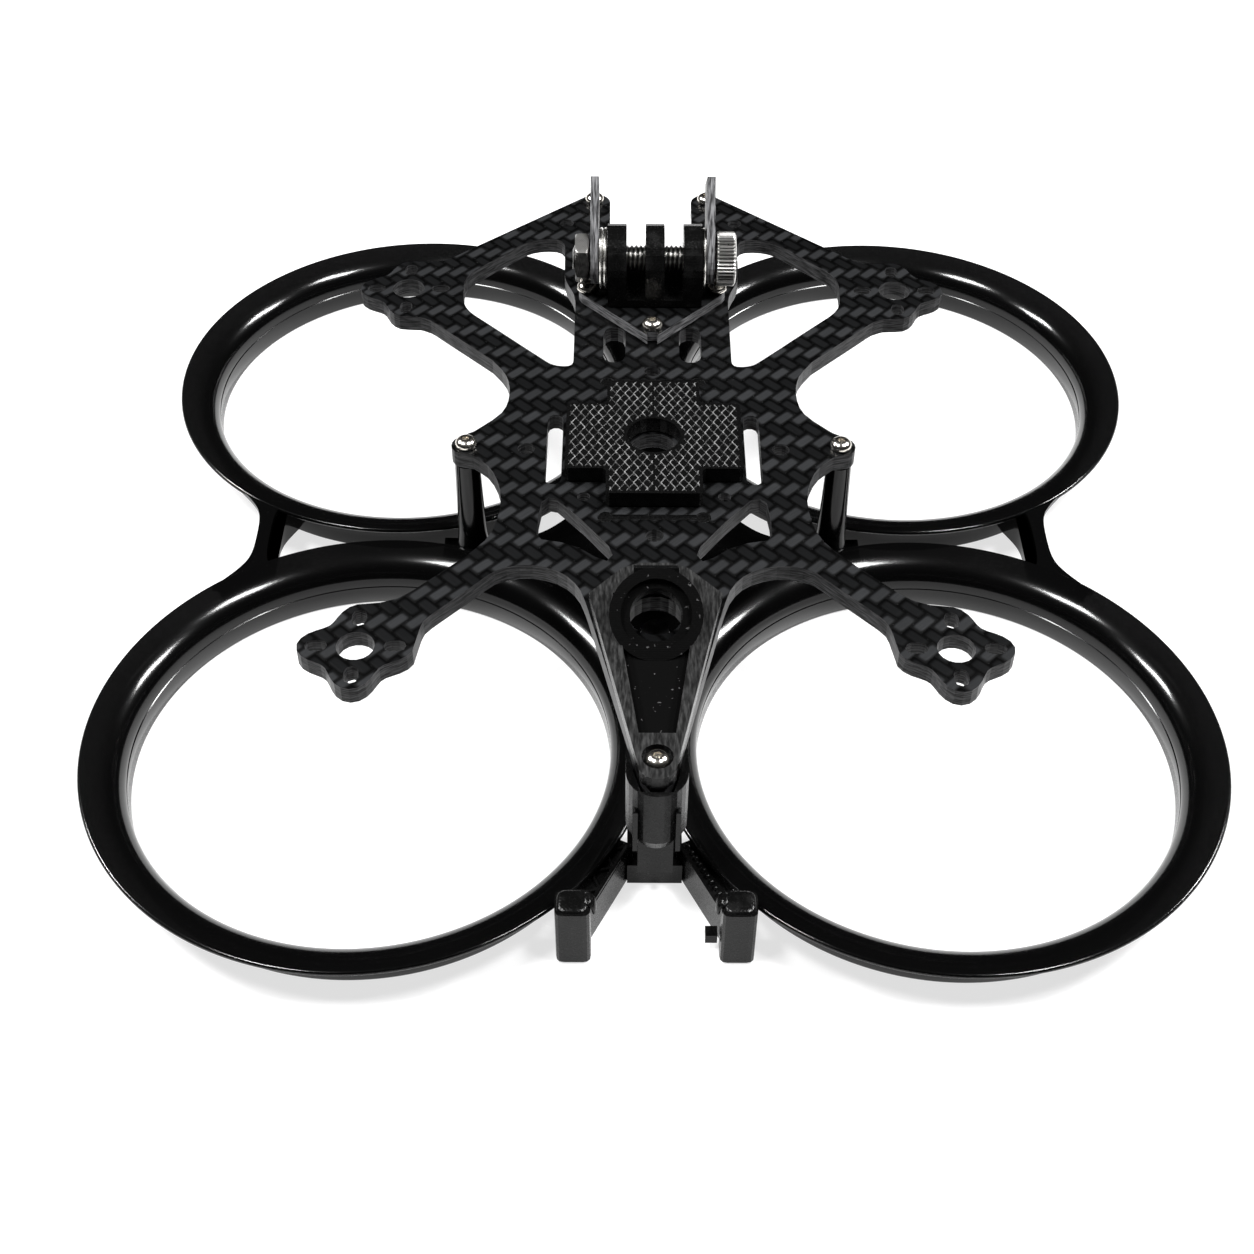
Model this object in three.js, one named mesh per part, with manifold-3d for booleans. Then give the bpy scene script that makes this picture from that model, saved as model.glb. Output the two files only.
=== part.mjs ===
import * as THREE from 'three';
import { mergeVertices } from 'three/addons/utils/BufferGeometryUtils.js';
import Module from 'manifold-3d';

// Three-inch ducted quadcopter frame. Millimetres, +Z up, +Y towards the camera horns at the nose,
// +X to the right. The ducts stand on z = 0 and the four duct axes are centred on the origin.

const wasm = await Module();
wasm.setup();

// ---- driving sizes -------------------------------------------------------------------------
const GAP = 0.3;                 // clearance between pieces that touch
const THROAT_R = 38.6;           // duct bore, just over a 3 inch propeller
const LIP_REACH = 6.9;           // how far the duct lip flares beyond the bore
const MOTOR_X = THROAT_R + LIP_REACH;   // half spacing of the motors across
const MOTOR_Y = MOTOR_X + 1.0;   // half spacing along, with a slot between the front and rear lips
const DRAWN_X = 45.5;            // motor spacing that the outlines below are drawn for
const DRAWN_Y = 46.5;
const LONGER = MOTOR_Y - DRAWN_Y; // nose and tail move out by this when the ducts grow
const RING_SCALE = THROAT_R / 38.6;
const DUCT_WALL = 2.0;
const DUCT_H = 9.0;
const THROAT_STRAIGHT = 4.3;     // height of the straight part of the bore
const RIM_R = MOTOR_X - GAP / 2; // flared lip: left and right lips meet on the centre line
const RIM_THICK = 0.9;
const PLATE_Z = 25.9;            // underside of the main plate
const PLATE_T = 3.0;
const PLATE_TOP = PLATE_Z + PLATE_T;
const STACK_HALF_DIAGONAL = 30.5 / Math.SQRT2;
const MOTOR_HOLE_R = 1.15;
const MOTOR_PCD_R = 6.0;
const MOTOR_CENTRE_R = 2.95;
const LOBE_R = 8.95;             // reach of the four motor mount lobes
const WAIST_R = 6.1;             // and of the waists between them
const SCREW_R = 0.95;            // M2 shank
const SCREW_HOLE_R = SCREW_R + GAP;
const SCREW_HEAD_R = 1.9;
const SCREW_HEAD_H = 1.2;
const POST_X = 31.8 + MOTOR_X - DRAWN_X;
const POST_Y = 0.9;
const POST_TOP_R = 2.15;
const POST_FOOT_R = 2.5;
const HORN_X = 11.1;
const HORN_Y = 76.8 + LONGER;
const HORN_TIP_R = 2.9;          // the horn's rounded tip, round its screw
const HORN_TIP_X = 10.9;
const HORN_TIP_Y = HORN_Y - 0.6;
const KEEL_Z = 0.6;
const KEEL_TOP = 5.0;
const KEEL_HALF = 4.2;
const PAD_HALF = 14.8;
const PAD_BAR_X = 7.95;
const PAD_BAR_Y = 8.6;
const PAD_T = 2.8;
const PAD_HOLE_R = 4.5;
const BAY_HALF = HORN_TIP_X - HORN_TIP_R;
const BAY_Y = 52 + LONGER;
const TAIL_WIDE_Y = -37.4 - LONGER;
const TAIL_WIDE_X = 10.3;
const TAIL_TIP_Y = -72 - LONGER;
const TAIL_TIP_X = 2.75;
const TAIL_SCREW_Y = TAIL_TIP_Y + 1.7;
const COLLAR_Y = -45 - LONGER;   // middle of the collar's rim
const COLLAR_Z = PLATE_TOP + 5.5;
const COLLAR_R = 7.1;
const COLLAR_STEP_R = 5.4;
const COLLAR_BORE_R = 4.0;
const COLLAR_TILT = 40;          // degrees the collar leans back
const TAIL_HOLE_Y = -39.8 - LONGER;
const TAIL_HOLE_R = 4.2;
const STANDOFF_Y = TAIL_HOLE_Y + 0.2;
const STANDOFF_R = 2.25;
const BOLT_Y = 43.5 + LONGER;
const BOLT_Z = PLATE_TOP + 8.9;
const BOLT_R = 2.45;
const BOLT_HOLE_R = BOLT_R + 0.35;
const FINGER_R = 6.2;
const FINGER_T = 3.4;
const FINGER_PITCH = 6.85;
const FINGER_SHIFT = 0.45;       // the fingers sit a little to the right of the side plates' middle
const SIDE_PLATE_T = 1.5;
const SIDE_PLATE_X = 10.5;       // middle of each side plate's thickness
const SIDE_PLATE_HALF = 4.6;
const SIDE_PLATE_REACH = 14;
const SIDE_PLATE_TILT = 50;      // degrees above level as set in use
const MOUNT_PLATE_T = 2.0;
const MOUNT_PLATE_HALF = 13.5;

const mountPlateZ = PLATE_TOP + GAP;
const mountPlateTop = mountPlateZ + MOUNT_PLATE_T;
const rad = (degrees) => degrees * Math.PI / 180;

// ---- materials -----------------------------------------------------------------------------
const paint = (hex, roughness, metalness = 0) =>
  new THREE.MeshStandardMaterial({ color: hex, roughness, metalness });
const carbon = paint(0x1f2022, 0.45);
const smoked = paint(0x0a0a0b, 0.15);
const soft = paint(0x141414, 0.5);
const steel = paint(0xc9c2b8, 0.25, 1);
const anodised = paint(0x2a2b2d, 0.35, 0.8);

const group = new THREE.Group();
function add(name, geometry, material) {
  const mesh = new THREE.Mesh(geometry, material);
  mesh.name = name;
  group.add(mesh);
}

// ---- shape helpers -------------------------------------------------------------------------
const at = (x, y) => new THREE.Vector2(x, y);

function solid(geometry) {
  const bare = geometry.clone();
  bare.deleteAttribute('normal');
  bare.deleteAttribute('uv');
  const merged = mergeVertices(bare, 1e-4);
  return new wasm.Manifold(new wasm.Mesh({
    numProp: 3,
    vertProperties: new Float32Array(merged.attributes.position.array),
    triVerts: new Uint32Array(merged.index.array),
  }));
}

function geometryOf(body) {
  const mesh = body.getMesh();
  const geometry = new THREE.BufferGeometry();
  geometry.setAttribute('position', new THREE.BufferAttribute(new Float32Array(mesh.vertProperties), 3));
  geometry.setIndex(new THREE.BufferAttribute(new Uint32Array(mesh.triVerts), 1));
  geometry.computeVertexNormals();
  return geometry;
}

const join = (first, ...rest) => geometryOf(rest.reduce((sum, one) => sum.add(solid(one)), solid(first)));
const cut = (first, ...rest) => geometryOf(rest.reduce((sum, one) => sum.subtract(solid(one)), solid(first)));

// A flat sheet from z0 to z1 with an outline and holes.
function sheet(outline, z0, z1, holes = []) {
  const shape = new THREE.Shape(outline);
  shape.holes = holes.map((points) => new THREE.Path(points));
  const geometry = new THREE.ExtrudeGeometry(shape, { depth: z1 - z0, bevelEnabled: false, steps: 1 });
  return geometry.translate(0, 0, z0);
}

// Points on an arc, both ends included.
function arc(x, y, radius, fromDeg, toDeg, steps) {
  return Array.from({ length: steps + 1 }, (_, i) => {
    const angle = rad(fromDeg + (toDeg - fromDeg) * i / steps);
    return at(x + radius * Math.cos(angle), y + radius * Math.sin(angle));
  });
}

// Points of an outline drawn for the spacing above: near the middle they stay, further out they move
// with the motors.
const outward = (value, shift, start, full) =>
  value + Math.sign(value) * shift * THREE.MathUtils.clamp((Math.abs(value) - start) / (full - start), 0, 1);
const moved = (x, y) => at(outward(x, MOTOR_X - DRAWN_X, 15, 30), outward(y, LONGER, 22, 36));
const movedAll = (points) => points.map((p) => moved(p.x, p.y));
const circle = (x, y, radius, steps = 16) => arc(x, y, radius, 0, 360 - 360 / steps, steps - 1);
const mirrorX = (points) => points.map((p) => at(-p.x, p.y)).reverse();

// A straight slot with round ends, between two end centres.
function slot(x0, y0, x1, y1, radius, steps = 6) {
  const heading = Math.atan2(y1 - y0, x1 - x0) * 180 / Math.PI;
  return [
    ...arc(x1, y1, radius, heading - 90, heading + 90, steps),
    ...arc(x0, y0, radius, heading + 90, heading + 270, steps),
  ];
}

// Replaces each corner of a closed outline by a short curve.
function rounded(corners, radius, steps = 3) {
  const points = [];
  corners.forEach((corner, i) => {
    const before = corners[(i + corners.length - 1) % corners.length];
    const after = corners[(i + 1) % corners.length];
    const reach = Math.min(radius, corner.distanceTo(before) * 0.45, corner.distanceTo(after) * 0.45);
    const start = corner.clone().lerp(before, reach / corner.distanceTo(before));
    const end = corner.clone().lerp(after, reach / corner.distanceTo(after));
    points.push(...new THREE.QuadraticBezierCurve(start, corner, end).getPoints(steps));
  });
  return points;
}

// A body turned about Z from [radius, height] pairs that start and end on the axis.
function turned(profile, x, y, steps = 20) {
  const geometry = new THREE.LatheGeometry(profile.map(([r, z]) => at(r, z)), steps);
  return geometry.rotateX(Math.PI / 2).translate(x, y, 0);
}

// The same, turned about the clamp bolt's axis, which runs along X.
function turnedOnBolt(profile, steps = 24) {
  const geometry = new THREE.LatheGeometry(profile.map(([r, along]) => at(r, along)), steps);
  return geometry.rotateZ(-Math.PI / 2).translate(0, BOLT_Y, BOLT_Z);
}

function block(x0, x1, y0, y1, z0, z1) {
  return new THREE.BoxGeometry(x1 - x0, y1 - y0, z1 - z0)
    .translate((x0 + x1) / 2, (y0 + y1) / 2, (z0 + z1) / 2);
}

// An outline drawn in the Y-Z plane and given a thickness along X.
function upright(outline, x0, x1, holes = []) {
  return sheet(outline, x0, x1, holes).applyMatrix4(new THREE.Matrix4().set(
    0, 0, 1, 0,
    1, 0, 0, 0,
    0, 1, 0, 0,
    0, 0, 0, 1,
  ));
}

// ---- ducts ---------------------------------------------------------------------------------
const flareRise = DUCT_H - THROAT_STRAIGHT;
const outerR = THROAT_R + DUCT_WALL;
const undersideZ = DUCT_H - RIM_THICK;
const FLARE_STEPS = 5;

function flare(innerR, lowZ, rise, steps, outR) {
  return Array.from({ length: steps + 1 }, (_, i) => {
    const turn = rad(90 * i / steps);
    return [innerR + (outR - innerR) * (1 - Math.cos(turn)), lowZ + rise * Math.sin(turn)];
  });
}

function ductProfile() {
  return [
    [THROAT_R, 0],
    [outerR, 0],
    ...flare(outerR, undersideZ - flareRise, flareRise, FLARE_STEPS - 1, RIM_R),
    ...flare(THROAT_R, THROAT_STRAIGHT, flareRise, FLARE_STEPS, RIM_R).reverse(),
    [THROAT_R, 0],
  ];
}

function duct(x, y) {
  return turned(ductProfile(), x, y, 56);
}

// The space a duct takes up, grown by the clearance, used to fit the web and struts round it.
function ductSpace(x, y) {
  const side = flare(outerR + GAP, undersideZ - flareRise - GAP, flareRise, FLARE_STEPS - 1, RIM_R + GAP);
  return turned([[0, -2], [outerR + GAP, -2], ...side, [RIM_R + GAP, DUCT_H + 2], [0, DUCT_H + 2]], x, y, 56);
}

const ends = [['front', 1], ['rear', -1]];
const sides = [['left', -1], ['right', 1]];
const ductSpaces = [];
for (const [endName, end] of ends) {
  for (const [sideName, side] of sides) {
    add(`duct_${endName}_${sideName}`, duct(side * MOTOR_X, end * MOTOR_Y), smoked);
    ductSpaces.push(ductSpace(side * MOTOR_X, end * MOTOR_Y));
  }
}

// Upright strut between the front and rear duct on the outer side, waisted on both faces.
const STRUT_OUT = 24.5;          // outer and inner face, measured from the motor's axis
const STRUT_IN = 21;
const strutHalf = [
  [STRUT_IN, 0],
  [STRUT_IN, -5.5],
  [STRUT_IN - 1.2, -9],
  [STRUT_IN - 4, -13],
  [STRUT_OUT + 5, -16],
  [STRUT_OUT + 3.6, -12.4],
  [STRUT_OUT + 1.6, -10],
  [STRUT_OUT + 0.5, -7.4],
  [STRUT_OUT, -4.4],
].map(([x, y]) => at(MOTOR_X + x * RING_SCALE, y * RING_SCALE));
const strutOutline = [...strutHalf, ...strutHalf.slice(1).map((p) => at(p.x, -p.y)).reverse()];
for (const [sideName, side] of sides) {
  const outline = side > 0 ? strutOutline : mirrorX(strutOutline);
  add(`outer_strut_${sideName}`, cut(sheet(outline, GAP, DUCT_H - GAP), ...ductSpaces), smoked);
}

// Low web between the rings: a keel along the middle, arms to the side posts, and the nose strut.
const FRONT_STRUT_HALF = 2.4;
const keelLeft = [
  at(-KEEL_HALF, HORN_Y - FRONT_STRUT_HALF),
  at(-HORN_X - 2.6, HORN_Y - FRONT_STRUT_HALF),
  at(-HORN_X - 2.6, HORN_Y + FRONT_STRUT_HALF),
];
const hubLeft = movedAll([
  at(-KEEL_HALF, 32),
  at(-8.5, 21),
  at(-11.5, 14.5),
  at(-15.9, 8.8),
  at(-20.7, 4.9),
  at(-27, 3.5),
  at(-36.2, 3.6),
  at(-36.2, -3.6),
  at(-20, -15),
  at(-10, -30),
  at(-KEEL_HALF, -42),
  at(-KEEL_HALF, -58),
]);
const keelHalf = [...keelLeft.reverse(), ...hubLeft];
const keelBore = (x, y, radius) => turned([[0, KEEL_Z - 1], [radius, KEEL_Z - 1], [radius, KEEL_TOP + 1],
  [0, KEEL_TOP + 1]], x, y, 12);
add('duct_keel', cut(
  sheet([...keelHalf, ...mirrorX(keelHalf)], KEEL_Z, KEEL_TOP),
  ...ductSpaces,
  keelBore(0, 0, 3),
), smoked);

// ---- posts ---------------------------------------------------------------------------------
const SCREW_BITE = 4.5;          // how far a screw runs into its post
const postTop = PLATE_Z - GAP;
function post(x, y) {
  const footZ = KEEL_TOP + GAP;
  return turned([
    [0, footZ],
    [POST_FOOT_R + 0.4, footZ],
    [POST_FOOT_R, footZ + 1],
    [POST_TOP_R, postTop],
    [SCREW_HOLE_R, postTop],
    [SCREW_HOLE_R, postTop - SCREW_BITE - 0.5],
    [0, postTop - SCREW_BITE - 0.5],
  ], x, y, 20);
}
for (const [sideName, side] of sides) {
  add(`side_post_${sideName}`, cut(post(side * POST_X, POST_Y), ...ductSpaces), smoked);
  add(`horn_post_${sideName}`, cut(post(side * HORN_X, HORN_Y), ...ductSpaces), smoked);
}
add('tail_standoff', turned([
  [0, DUCT_H + GAP],
  [STANDOFF_R, DUCT_H + GAP],
  [STANDOFF_R, postTop],
  [0, postTop],
], 0, STANDOFF_Y, 18), anodised);

// ---- main plate ----------------------------------------------------------------------------
// Points on a motor mount's four-lobed edge, between two headings.
function lobes(x, y, fromDeg, toDeg, steps) {
  return Array.from({ length: steps + 1 }, (_, i) => {
    const angle = rad(fromDeg + (toDeg - fromDeg) * i / steps);
    const reach = (LOBE_R + WAIST_R) / 2 + (LOBE_R - WAIST_R) / 2 * Math.cos(4 * angle);
    return at(x + reach * Math.cos(angle), y + reach * Math.sin(angle));
  });
}

const movedCurve = (steps, ...points) => new THREE.SplineCurve(movedAll(points)).getPoints(steps);
const tailLeft = (y, inset = 0) => {
  const along = (y - TAIL_WIDE_Y) / (TAIL_TIP_Y - TAIL_WIDE_Y);
  return -(TAIL_WIDE_X + (TAIL_TIP_X - TAIL_WIDE_X) * along - inset);
};
const TONGUE_INSET = 0.4;
const tongueTipY = TAIL_TIP_Y - 2.0;

const plateLeft = [
  at(-BAY_HALF + 3, BAY_Y),
  ...arc(-BAY_HALF + 3, BAY_Y + 3, 3, 270, 180, 4).slice(1),
  ...arc(-HORN_TIP_X, HORN_TIP_Y, HORN_TIP_R, 0, 130, 7),
  moved(-34, 60.2),
  ...movedCurve(4, at(-37.6, 57), at(-39.8, 55.6), at(-42.6, 55.2)),
  ...lobes(-MOTOR_X, MOTOR_Y, 94, 272, 22),
  ...movedCurve(4, at(-42.6, 37.4), at(-40.6, 36.4), at(-39.2, 35.1)),
  ...movedCurve(12, at(-28.6, 24.5), at(-25.9, 20), at(-25.1, 14.8), at(-26.2, 9.6), at(-30.6, 4.6)),
  ...arc(-POST_X, POST_Y, 2.5, 125, 240, 6),
  ...movedCurve(12, at(-30.4, -1.9), at(-27.4, -5), at(-25.5, -10.2), at(-25.3, -16), at(-26.7, -22), at(-30.4, -27)),
  ...movedCurve(4, at(-37.8, -34.5), at(-40, -36.2), at(-42.6, -37.2)),
  ...lobes(-MOTOR_X, -MOTOR_Y, 94, 362, 32),
  ...movedCurve(4, at(-36.2, -43.8), at(-35.6, -41.2), at(-33.8, -39)),
  ...movedCurve(12, at(-28, -32.8), at(-24.6, -29.6), at(-19.8, -28.6), at(-15, -30.2), at(-12, -33.6), at(-10.4, -38.6)),
  at(tailLeft(TAIL_TIP_Y, TONGUE_INSET), TAIL_TIP_Y),
  at(tailLeft(TAIL_TIP_Y, TONGUE_INSET) + 1.3, tongueTipY),
];

const windowFront = rounded(movedAll([
  at(-14.15, 22.8), at(-14.15, 44.2), at(-16.4, 49.5), at(-16.6, 63.2), at(-23, 63.1),
  at(-35.4, 50.4), at(-34.9, 40.4), at(-17.8, 23),
]), 3.2, 4);
const windowRear = [
  at(-17.4, -12.5), at(-18.5, -13.6), at(-18.9, -17), at(-19, -21.4), at(-18.2, -22.6),
  at(-14.9, -23.3), at(-12, -24.6), at(-9.4, -26.7), at(-7.6, -27.6), at(-6.7, -26.2),
  at(-7.3, -24.2), at(-11.5, -18.3), at(-15.9, -12.9),
];
// Thin cross slot whose ends widen to round reliefs.
const dogBone = (y) => [
  ...arc(-8, y, 1.3, 30, 330, 9),
  ...arc(8, y, 1.3, 210, 510, 9),
];
const motorHoles = (x, y) => [
  circle(x, y, MOTOR_CENTRE_R, 18),
  ...[0, 90, 180, 270].map((heading) => {
    const [dx, dy] = [Math.round(Math.cos(rad(heading))), Math.round(Math.sin(rad(heading)))];
    return slot(x + dx * (MOTOR_PCD_R - 0.6), y + dy * (MOTOR_PCD_R - 0.6),
      x + dx * (MOTOR_PCD_R + 0.6), y + dy * (MOTOR_PCD_R + 0.6), MOTOR_HOLE_R, 4);
  }),
];
const MOUNT_SCREW_X = 12.0;
const MOUNT_SCREW_Y = BOLT_Y - 0.1;
const MOUNT_SCREW_REAR_Y = BOLT_Y - 11.6;
const mountScrewSpots = [
  ['left', -MOUNT_SCREW_X, MOUNT_SCREW_Y],
  ['right', MOUNT_SCREW_X, MOUNT_SCREW_Y],
  ['rear', 0, MOUNT_SCREW_REAR_Y],
];
const plateHoles = [
  windowFront, mirrorX(windowFront), windowRear, mirrorX(windowRear),
  dogBone(18.4), dogBone(-17.2),
  circle(0, 0, PAD_HOLE_R - 0.4, 20),
  circle(0, TAIL_HOLE_Y, TAIL_HOLE_R, 18),
  circle(0, TAIL_SCREW_Y, SCREW_HOLE_R, 12),
  ...mountScrewSpots.map(([, x, y]) => circle(x, y, SCREW_HOLE_R, 12)),
  ...[[1, 0], [-1, 0], [0, 1], [0, -1]].map(([x, y]) =>
    circle(x * STACK_HALF_DIAGONAL, y * STACK_HALF_DIAGONAL, 1.5, 14)),
];
for (const [, side] of sides) {
  plateHoles.push(slot(side * 6.85, moved(0, 26).y, side * 6.85, moved(0, 32.6).y, 2, 5));
  plateHoles.push(slot(side * 16.8, -7.8, side * 16.8, 7.8, 1.35, 5));
  plateHoles.push(circle(side * 11.6, -12.2, 1.1, 12));
  plateHoles.push(circle(side * 16.4, 68.7 + LONGER, 1.35, 12));
  plateHoles.push(circle(side * POST_X, POST_Y, SCREW_HOLE_R, 12));
  plateHoles.push(circle(side * HORN_X, HORN_Y, SCREW_HOLE_R, 12));
  for (const [, end] of ends) {
    plateHoles.push(...motorHoles(side * MOTOR_X, end * MOTOR_Y));
  }
}
add('main_plate', sheet([...plateLeft, ...mirrorX(plateLeft)], PLATE_Z, PLATE_TOP, plateHoles), carbon);

// ---- battery pad ---------------------------------------------------------------------------
const padCorners = [
  at(PAD_HALF, -PAD_BAR_Y), at(PAD_HALF, PAD_BAR_Y), at(PAD_BAR_X, PAD_BAR_Y), at(PAD_BAR_X, PAD_HALF),
  at(-PAD_BAR_X, PAD_HALF), at(-PAD_BAR_X, PAD_BAR_Y), at(-PAD_HALF, PAD_BAR_Y), at(-PAD_HALF, -PAD_BAR_Y),
  at(-PAD_BAR_X, -PAD_BAR_Y), at(-PAD_BAR_X, -PAD_HALF), at(PAD_BAR_X, -PAD_HALF), at(PAD_BAR_X, -PAD_BAR_Y),
];
const padZ = PLATE_TOP + GAP;
add('battery_pad', sheet(rounded(padCorners, 0.6, 1), padZ, padZ + PAD_T, [circle(0, 0, PAD_HOLE_R, 24)]), soft);

// ---- M2 button-head screws -----------------------------------------------------------------
// headZ is the height of the face the head sits on; length is the shank below it.
function buttonScrew(x, y, headZ, length) {
  const seat = headZ + GAP / 2;
  return turned([
    [0, headZ - length],
    [SCREW_R, headZ - length],
    [SCREW_R, seat],
    [SCREW_HEAD_R, seat],
    [SCREW_HEAD_R, seat + 0.35],
    [SCREW_HEAD_R * 0.8, seat + SCREW_HEAD_H * 0.8],
    [SCREW_HEAD_R * 0.48, seat + SCREW_HEAD_H],
    [SCREW_HEAD_R * 0.4, seat + SCREW_HEAD_H * 0.5],
    [0, seat + SCREW_HEAD_H * 0.4],
  ], x, y, 14);
}
for (const [sideName, side] of sides) {
  add(`side_screw_${sideName}`, buttonScrew(side * POST_X, POST_Y, PLATE_TOP, PLATE_T + SCREW_BITE), steel);
  add(`horn_screw_${sideName}`, buttonScrew(side * HORN_X, HORN_Y, PLATE_TOP, PLATE_T + SCREW_BITE), steel);
}
for (const [name, x, y] of mountScrewSpots) {
  add(`mount_screw_${name}`, buttonScrew(x, y, mountPlateTop, MOUNT_PLATE_T + PLATE_T + 1), steel);
}

// ---- camera mount --------------------------------------------------------------------------
const MOUNT_VERTEX_Y = BOLT_Y - 14.1;
const MOUNT_CORNER_Y = BOLT_Y - 1.3;
const MOUNT_FRONT_Y = BOLT_Y + 7;
const NOTCH_HALF = 0.9;
const mountPlateHalf = [
  at(-NOTCH_HALF, MOUNT_VERTEX_Y - 0.3),
  at(-MOUNT_PLATE_HALF + 0.6, MOUNT_CORNER_Y - 0.6),
  at(-MOUNT_PLATE_HALF, MOUNT_CORNER_Y + 0.6),
  at(-MOUNT_PLATE_HALF, MOUNT_FRONT_Y),
];
const notch = [at(NOTCH_HALF, MOUNT_VERTEX_Y + 0.7), at(-NOTCH_HALF, MOUNT_VERTEX_Y + 0.7)];
add('mount_plate', sheet(
  [...notch, ...mountPlateHalf, ...mirrorX(mountPlateHalf)],
  mountPlateZ, mountPlateTop,
  mountScrewSpots.map(([, x, y]) => circle(x, y, SCREW_HOLE_R, 12)),
), carbon);

const fingerFootZ = mountPlateTop + GAP;
const FINGER_BASE_T = 1.4;
const FINGER_BASE_HALF = FINGER_PITCH + FINGER_T / 2;
const fingersLeft = FINGER_SHIFT - FINGER_BASE_HALF;
const fingersRight = FINGER_SHIFT + FINGER_BASE_HALF;
const fingerOutline = [
  at(BOLT_Y + FINGER_R, fingerFootZ),
  ...arc(BOLT_Y, BOLT_Z, FINGER_R, 0, 180, 14),
  at(BOLT_Y - FINGER_R, fingerFootZ),
];
const boltHole = circle(BOLT_Y, BOLT_Z, BOLT_HOLE_R, 20);
const finger = (place) => upright(fingerOutline,
  FINGER_SHIFT + place * FINGER_PITCH - FINGER_T / 2, FINGER_SHIFT + place * FINGER_PITCH + FINGER_T / 2, [boltHole]);
add('action_camera_mount', join(
  block(fingersLeft, fingersRight, BOLT_Y - FINGER_R, BOLT_Y + FINGER_R, fingerFootZ, fingerFootZ + FINGER_BASE_T),
  finger(-1), finger(0), finger(1),
), soft);

// Side plates: flat levers that swing about the bolt, with a camera screw hole near the tip.
const lean = rad(SIDE_PLATE_TILT);
const onLever = (along, across) => at(
  BOLT_Y + along * Math.cos(lean) - across * Math.sin(lean),
  BOLT_Z + along * Math.sin(lean) + across * Math.cos(lean),
);
const leverOutline = [
  ...arc(BOLT_Y, BOLT_Z, SIDE_PLATE_HALF, SIDE_PLATE_TILT + 90, SIDE_PLATE_TILT + 270, 12),
  onLever(SIDE_PLATE_REACH, -SIDE_PLATE_HALF),
  onLever(SIDE_PLATE_REACH, SIDE_PLATE_HALF),
];
const cameraHole = onLever(SIDE_PLATE_REACH - 4, 0);
for (const [sideName, side] of sides) {
  const middle = side * SIDE_PLATE_X;
  add(`side_plate_${sideName}`, upright(leverOutline, middle - SIDE_PLATE_T / 2, middle + SIDE_PLATE_T / 2,
    [boltHole, circle(cameraHole.x, cameraHole.y, 1.1, 12)]), carbon);
}

// Clamp bolt along X: knurled socket head on the right, hex nut on the left.
const HEAD_R = 4.9;
const HEAD_L = 3.6;
const SOCKET_R = 2.3;
const NUT_T = 2.5;
const NUT_FLAT = 4.0;            // centre to flat
const outerFace = SIDE_PLATE_X + SIDE_PLATE_T / 2;
const headStart = outerFace + GAP;
const boltEnd = -(outerFace + GAP + NUT_T + 0.5);
add('clamp_bolt', turnedOnBolt([
  [0, boltEnd],
  [BOLT_R - 0.5, boltEnd],
  [BOLT_R, boltEnd + 0.5],
  [BOLT_R, headStart],
  [HEAD_R, headStart],
  [HEAD_R, headStart + HEAD_L - 0.5],
  [HEAD_R - 0.5, headStart + HEAD_L],
  [SOCKET_R, headStart + HEAD_L],
  [SOCKET_R, headStart + HEAD_L - 2.2],
  [0, headStart + HEAD_L - 2.2],
], 28), steel);

const nutOutline = Array.from({ length: 6 }, (_, i) => {
  const angle = rad(60 * i + 15);
  const corner = NUT_FLAT / Math.cos(rad(30));
  return at(BOLT_Y + corner * Math.cos(angle), BOLT_Z + corner * Math.sin(angle));
});
add('clamp_nut', upright(nutOutline, -outerFace - GAP - NUT_T, -outerFace - GAP, [boltHole]), steel);

// Thin washers between the fingers and the side plates.
const WASHER_R = 5.5;
const WASHER_GAP = 0.15;
const innerFace = SIDE_PLATE_X - SIDE_PLATE_T / 2;
const leftWasherT = (fingersLeft + innerFace - 3 * WASHER_GAP) / 2;
const rightWasherT = innerFace - fingersRight - 2 * WASHER_GAP;
function washer(x0, thickness) {
  return upright(circle(BOLT_Y, BOLT_Z, WASHER_R, 24), x0, x0 + thickness, [boltHole]);
}
add('washer_left_inner', washer(fingersLeft - WASHER_GAP - leftWasherT, leftWasherT), steel);
add('washer_left_outer', washer(-innerFace + WASHER_GAP, leftWasherT), steel);
add('washer_right', washer(fingersRight + WASHER_GAP, rightWasherT), steel);

// ---- tail ----------------------------------------------------------------------------------
// Teardrop holder on the tongue: pocketed body, screw seat at the tip, collar leaning back.
const HOLDER_T = 2.2;
const holderZ = PLATE_TOP + GAP;
const holderTop = holderZ + HOLDER_T;
const HOLDER_FRONT_Y = TAIL_WIDE_Y + 6.8;
const SEAT_Z = holderZ + 1.0;    // the tip screw sits low in the holder
const POCKET_DEEP = 1.5;
const holderLeft = [
  at(-2.5, HOLDER_FRONT_Y),
  at(-5.2, HOLDER_FRONT_Y - 1.2),
  at(tailLeft(TAIL_WIDE_Y), TAIL_WIDE_Y),
  at(tailLeft(TAIL_TIP_Y), TAIL_TIP_Y),
  ...arc(0, TAIL_TIP_Y + 0.4, 2.9, 205, 270, 4),
];
const holderOutline = [...holderLeft, ...mirrorX(holderLeft).slice(1)];
const pocketTipY = TAIL_SCREW_Y + 4.4;
const POCKET_INSET = 1.4;
const pocketHalf = -tailLeft(pocketTipY, POCKET_INSET);
const pocket = [
  at(-6.6, TAIL_WIDE_Y), at(-pocketHalf, pocketTipY), at(pocketHalf, pocketTipY), at(6.6, TAIL_WIDE_Y),
];
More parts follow.
